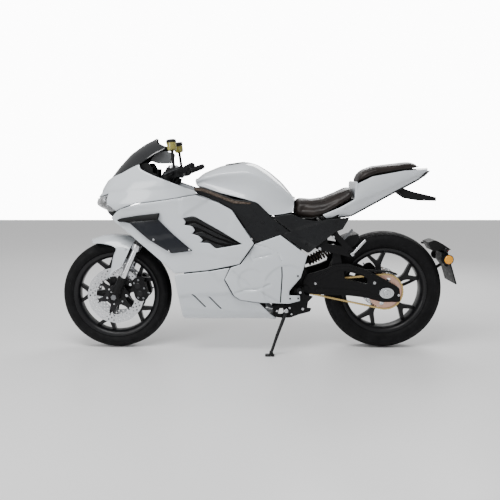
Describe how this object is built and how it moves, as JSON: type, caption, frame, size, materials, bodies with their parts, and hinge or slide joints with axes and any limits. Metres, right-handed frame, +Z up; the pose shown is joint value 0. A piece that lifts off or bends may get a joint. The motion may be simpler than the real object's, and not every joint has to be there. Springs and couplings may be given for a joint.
{
  "type": "sport motorcycle",
  "caption": "Electric sport motorcycle with full fairing, tank-shaped cover, stepped seats, upside-down fork, chain drive and side stand, every moving part jointed",
  "frame": {"origin": "on the ground, under the middle of the machine's bounding box", "axes": "+X towards the rear wheel, +Y towards the rider's right hand, +Z up"},
  "size_m": [2.096, 0.6956, 1.119],
  "materials": {
    "frame_metal": "satin black powder coat",
    "battery_case": "cast case, matte black",
    "motor_case": "cast and machined",
    "white_paint": "gloss white with clear coat",
    "lamp": "clear lens over reflector",
    "screen": "smoked transparent",
    "black_plastic": "grained black",
    "satin_cover": "satin black",
    "leather": "dark brown-black leather",
    "black_metal": "black anodised",
    "fluid_cup": "amber translucent with black cap",
    "black_wheel": "satin black",
    "tyre": "rubber",
    "grip": "rubber",
    "steel": "machined steel",
    "chain_gold": "gold plated",
    "sprocket_metal": "copper-gold anodised",
    "red_button": "red"
  },
  "bodies": {
    "chassis": {"main_frame": "frame_metal", "battery_pack": "battery_case", "motor": "motor_case", "nose_cowl": "white_paint", "headlight": "lamp", "windscreen": "screen", "belly_pan": "white_paint", "tank_cover": "white_paint", "rider_seat": "leather", "tail_cowl": "white_paint", "side_fairing_left": "white_paint", "side_fairing_right": "white_paint", "winglet_left": "black_plastic", "winglet_right": "black_plastic", "battery_cover_left": "white_paint", "battery_cover_right": "white_paint", "frame_cover_left": "satin_cover", "frame_cover_right": "satin_cover", "left_foot_bracket": "frame_metal", "right_foot_bracket": "frame_metal"},
    "pillion_pad": {"pillion_seat": "leather"},
    "stand": {"side_stand": "black_metal"},
    "rider_peg_left": {"rider_peg_left": "black_metal"},
    "rider_peg_right": {"rider_peg_right": "black_metal"},
    "pillion_peg_left": {"pillion_peg_left": "steel"},
    "pillion_peg_right": {"pillion_peg_right": "steel"},
    "steering": {"triple_clamp": "black_metal", "fork_tube_left": "black_metal", "fork_tube_right": "black_metal", "handlebar_left": "black_metal", "handlebar_right": "black_metal", "master_cylinder_left": "fluid_cup", "master_cylinder_right": "fluid_cup"},
    "throttle": {"throttle_grip": "grip"},
    "lever_left": {"brake_lever_left": "steel"},
    "lever_right": {"brake_lever_right": "steel"},
    "kill_button": {"kill_switch": "red_button"},
    "horn": {"horn_button": "grip"},
    "fork_sliders": {"fork_lower_left": "black_metal", "fork_lower_right": "black_metal", "front_axle": "steel", "front_fender": "white_paint", "front_caliper_left": "black_metal", "front_caliper_right": "black_metal"},
    "front_wheel": {"front_rim": "black_wheel", "front_tyre": "tyre", "front_disc_left": "steel", "front_disc_right": "steel"},
    "rear_arm": {"swingarm": "black_metal", "rear_axle": "steel", "chain": "chain_gold", "plate_holder": "black_metal", "rear_caliper": "black_metal"},
    "rear_wheel": {"rear_rim": "black_wheel", "rear_tyre": "tyre", "rear_sprocket": "sprocket_metal", "rear_disc": "steel"},
    "drive": {"drive_sprocket": "steel"},
    "shock_housing": {"shock_body": "black_metal"},
    "shock_shaft": {"shock_rod": "steel"}
  },
  "joints": [
    {"name": "steer", "type": "hinge", "parent": "chassis", "child": "steering", "pos_m": [-0.47352, 0, 0.82084], "axis": [0.4226, 0, 0.9063], "range_deg": [-20, 20]},
    {"name": "fork_travel", "type": "slide", "parent": "steering", "child": "fork_sliders", "axis": [0.4226, 0, 0.9063], "range_m": [-0.025, 0.07], "stiffness_N_per_m": 22000, "springref_m": -0.045},
    {"name": "front_wheel_spin", "type": "hinge", "parent": "fork_sliders", "child": "front_wheel", "pos_m": [-0.757, 0, 0.291], "axis": [0, -1, 0], "continuous": true},
    {"name": "swing", "type": "hinge", "parent": "chassis", "child": "rear_arm", "pos_m": [0.248, 0, 0.34], "axis": [0, -1, 0], "range_deg": [-3, 10], "stiffness_Nm_per_rad": 5000, "springref_deg": -5.73},
    {"name": "rear_wheel_spin", "type": "hinge", "parent": "rear_arm", "child": "rear_wheel", "pos_m": [0.673, 0, 0.315], "axis": [0, -1, 0], "continuous": true},
    {"name": "drive_spin", "type": "hinge", "parent": "chassis", "child": "drive", "pos_m": [0.248, 0, 0.34], "axis": [0, -1, 0], "continuous": true},
    {"name": "shock_tilt", "type": "hinge", "parent": "chassis", "child": "shock_housing", "pos_m": [0.238, 0, 0.45], "axis": [0, -1, 0], "range_deg": [-6, 16]},
    {"name": "shock_stroke", "type": "slide", "parent": "shock_housing", "child": "shock_shaft", "axis": [-0.886, 0, -0.4636], "range_m": [-0.012, 0.03]},
    {"name": "stand_fold", "type": "hinge", "parent": "chassis", "child": "stand", "pos_m": [0.148, -0.15, 0.224], "axis": [-0.1588, -0.9468, 0.28], "range_deg": [0, 118]},
    {"name": "rider_peg_left_fold", "type": "hinge", "parent": "chassis", "child": "rider_peg_left", "pos_m": [0.213, -0.145, 0.337], "axis": [-1, 0, 0], "range_deg": [0, 50], "stiffness_Nm_per_rad": 0.8, "springref_deg": -34.38},
    {"name": "rider_peg_right_fold", "type": "hinge", "parent": "chassis", "child": "rider_peg_right", "pos_m": [0.213, 0.145, 0.337], "axis": [1, 0, 0], "range_deg": [0, 50], "stiffness_Nm_per_rad": 0.8, "springref_deg": -34.38},
    {"name": "pillion_peg_left_fold", "type": "hinge", "parent": "chassis", "child": "pillion_peg_left", "pos_m": [0.487, -0.134, 0.52], "axis": [0.7431, 0, -0.6691], "range_deg": [0, 90]},
    {"name": "pillion_peg_right_fold", "type": "hinge", "parent": "chassis", "child": "pillion_peg_right", "pos_m": [0.487, 0.134, 0.52], "axis": [-0.7431, 0, 0.6691], "range_deg": [0, 90]},
    {"name": "throttle_twist", "type": "hinge", "parent": "steering", "child": "throttle", "pos_m": [-0.35896, 0.27251, 0.95736], "axis": [0.5336, 0.814, 0.2298], "range_deg": [0, 70], "stiffness_Nm_per_rad": 0.4, "springref_deg": -17.19},
    {"name": "left_lever_pull", "type": "hinge", "parent": "steering", "child": "lever_left", "pos_m": [-0.46399, -0.20349, 0.93219], "axis": [-0.126, 0.1922, 0.9732], "range_deg": [0, 9], "stiffness_Nm_per_rad": 6, "springref_deg": -17.19},
    {"name": "right_lever_pull", "type": "hinge", "parent": "steering", "child": "lever_right", "pos_m": [-0.46399, 0.20349, 0.93219], "axis": [0.126, 0.1922, -0.9732], "range_deg": [0, 9], "stiffness_Nm_per_rad": 6, "springref_deg": -17.19},
    {"name": "kill_button_press", "type": "slide", "parent": "steering", "child": "kill_button", "axis": [0.126, 0.1922, -0.9732], "range_m": [0, 0.003], "stiffness_N_per_m": 600, "springref_m": -0.002},
    {"name": "horn_press", "type": "slide", "parent": "steering", "child": "horn", "axis": [0.126, -0.1922, -0.9732], "range_m": [0, 0.003], "stiffness_N_per_m": 600, "springref_m": -0.002},
    {"name": "pillion_pad_lift", "type": "slide", "parent": "chassis", "child": "pillion_pad", "axis": [0, 0, 1], "range_m": [0, 0.1]}
  ],
  "couplings": [
    {"joint": "drive_spin", "follows": "rear_wheel_spin", "ratio": 3.2857},
    {"joint": "shock_tilt", "follows": "swing", "ratio": 1.2705},
    {"joint": "shock_stroke", "follows": "swing", "m_per_rad": 0.09797}
  ]
}
